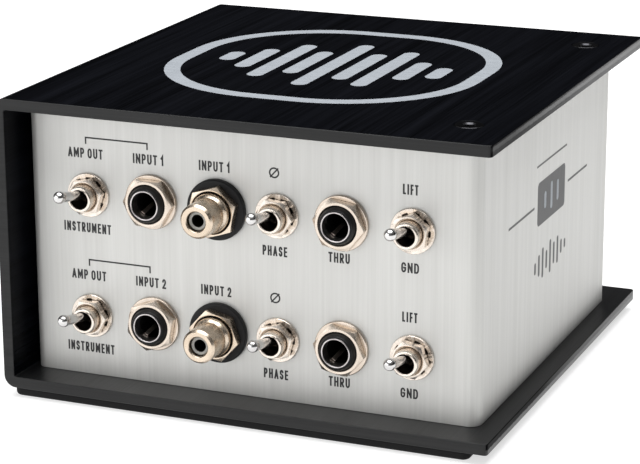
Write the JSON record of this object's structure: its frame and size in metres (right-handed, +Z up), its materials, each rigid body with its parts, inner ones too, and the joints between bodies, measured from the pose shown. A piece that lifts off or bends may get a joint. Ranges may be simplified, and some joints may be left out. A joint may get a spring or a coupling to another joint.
{
  "type": "direct injection box",
  "caption": "Desktop direct injection box: folded silver chassis with jacks, phono sockets and toggle switches on the front, in a black wrap-round case on a rubber pad.",
  "frame": {"origin": "centre of the case's footprint, on the underside of the rubber base pad, the face that the box stands on", "axes": "+Z up; -Y is the front, with the jacks and switches; +X is to the right seen from the front, the side where the wrap-round case is open"},
  "size_m": [0.1232, 0.1299, 0.0744],
  "materials": {
    "black_anodised": "black anodised, brushed front to back",
    "brushed_aluminium": "clear anodised, brushed vertically",
    "rubber": "matt",
    "black_screw": "black oxide",
    "nickel": "bright nickel plate",
    "chrome": "polished",
    "black_plastic": "moulded, satin",
    "cream_plastic": "moulded",
    "board": "solder-masked glass laminate",
    "transformer_can": "drawn can",
    "satin_nickel": "satin nickel"
  },
  "bodies": {
    "root": {"case_wrap": "black_anodised", "base_pad": "rubber", "chassis": "brushed_aluminium", "case_screw_1": "black_screw", "case_screw_2": "black_screw", "source_switch_1_body": "nickel", "source_switch_1_lock_washer": "nickel", "source_switch_1_nut": "nickel", "phase_switch_1_body": "nickel", "phase_switch_1_lock_washer": "nickel", "phase_switch_1_nut": "nickel", "ground_switch_1_body": "nickel", "ground_switch_1_lock_washer": "nickel", "ground_switch_1_nut": "nickel", "input_jack_1_body": "black_plastic", "input_jack_1_contact_ring": "chrome", "input_jack_1_washer": "nickel", "input_jack_1_nut": "nickel", "thru_jack_1_body": "black_plastic", "thru_jack_1_contact_ring": "chrome", "thru_jack_1_washer": "nickel", "thru_jack_1_nut": "nickel", "phono_input_1_barrel": "nickel", "phono_input_1_insulating_washer": "black_plastic", "phono_input_1_nut": "nickel", "phono_input_1_centre_insulator": "cream_plastic", "transformer_1": "transformer_can", "output_connector_1_shell": "satin_nickel", "output_connector_1_insert": "black_plastic", "source_switch_2_body": "nickel", "source_switch_2_lock_washer": "nickel", "source_switch_2_nut": "nickel", "phase_switch_2_body": "nickel", "phase_switch_2_lock_washer": "nickel", "phase_switch_2_nut": "nickel", "ground_switch_2_body": "nickel", "ground_switch_2_lock_washer": "nickel", "ground_switch_2_nut": "nickel", "input_jack_2_body": "black_plastic", "input_jack_2_contact_ring": "chrome", "input_jack_2_washer": "nickel", "input_jack_2_nut": "nickel", "thru_jack_2_body": "black_plastic", "thru_jack_2_contact_ring": "chrome", "thru_jack_2_washer": "nickel", "thru_jack_2_nut": "nickel", "phono_input_2_barrel": "nickel", "phono_input_2_insulating_washer": "black_plastic", "phono_input_2_nut": "nickel", "phono_input_2_centre_insulator": "cream_plastic", "transformer_2": "transformer_can", "output_connector_2_shell": "satin_nickel", "output_connector_2_insert": "black_plastic", "circuit_board": "board"},
    "source_switch_1_lever": {"source_switch_1_lever": "chrome"},
    "phase_switch_1_lever": {"phase_switch_1_lever": "chrome"},
    "ground_switch_1_lever": {"ground_switch_1_lever": "chrome"},
    "source_switch_2_lever": {"source_switch_2_lever": "chrome"},
    "phase_switch_2_lever": {"phase_switch_2_lever": "chrome"},
    "ground_switch_2_lever": {"ground_switch_2_lever": "chrome"}
  },
  "joints": [
    {"name": "source_switch_1_throw", "type": "hinge", "parent": "root", "child": "source_switch_1_lever", "pos_m": [-0.0415, -0.0525, 0.0506], "axis": [1, 0, 0], "range_deg": [0, 23.6]},
    {"name": "phase_switch_1_throw", "type": "hinge", "parent": "root", "child": "phase_switch_1_lever", "pos_m": [0.0071, -0.0525, 0.0506], "axis": [1, 0, 0], "range_deg": [0, 23.6]},
    {"name": "ground_switch_1_throw", "type": "hinge", "parent": "root", "child": "ground_switch_1_lever", "pos_m": [0.0404, -0.0525, 0.0506], "axis": [1, 0, 0], "range_deg": [0, 23.6]},
    {"name": "source_switch_2_throw", "type": "hinge", "parent": "root", "child": "source_switch_2_lever", "pos_m": [-0.0415, -0.0525, 0.0205], "axis": [1, 0, 0], "range_deg": [0, 23.6]},
    {"name": "phase_switch_2_throw", "type": "hinge", "parent": "root", "child": "phase_switch_2_lever", "pos_m": [0.0071, -0.0525, 0.0205], "axis": [1, 0, 0], "range_deg": [0, 23.6]},
    {"name": "ground_switch_2_throw", "type": "hinge", "parent": "root", "child": "ground_switch_2_lever", "pos_m": [0.0404, -0.0525, 0.0205], "axis": [1, 0, 0], "range_deg": [0, 23.6]}
  ]
}
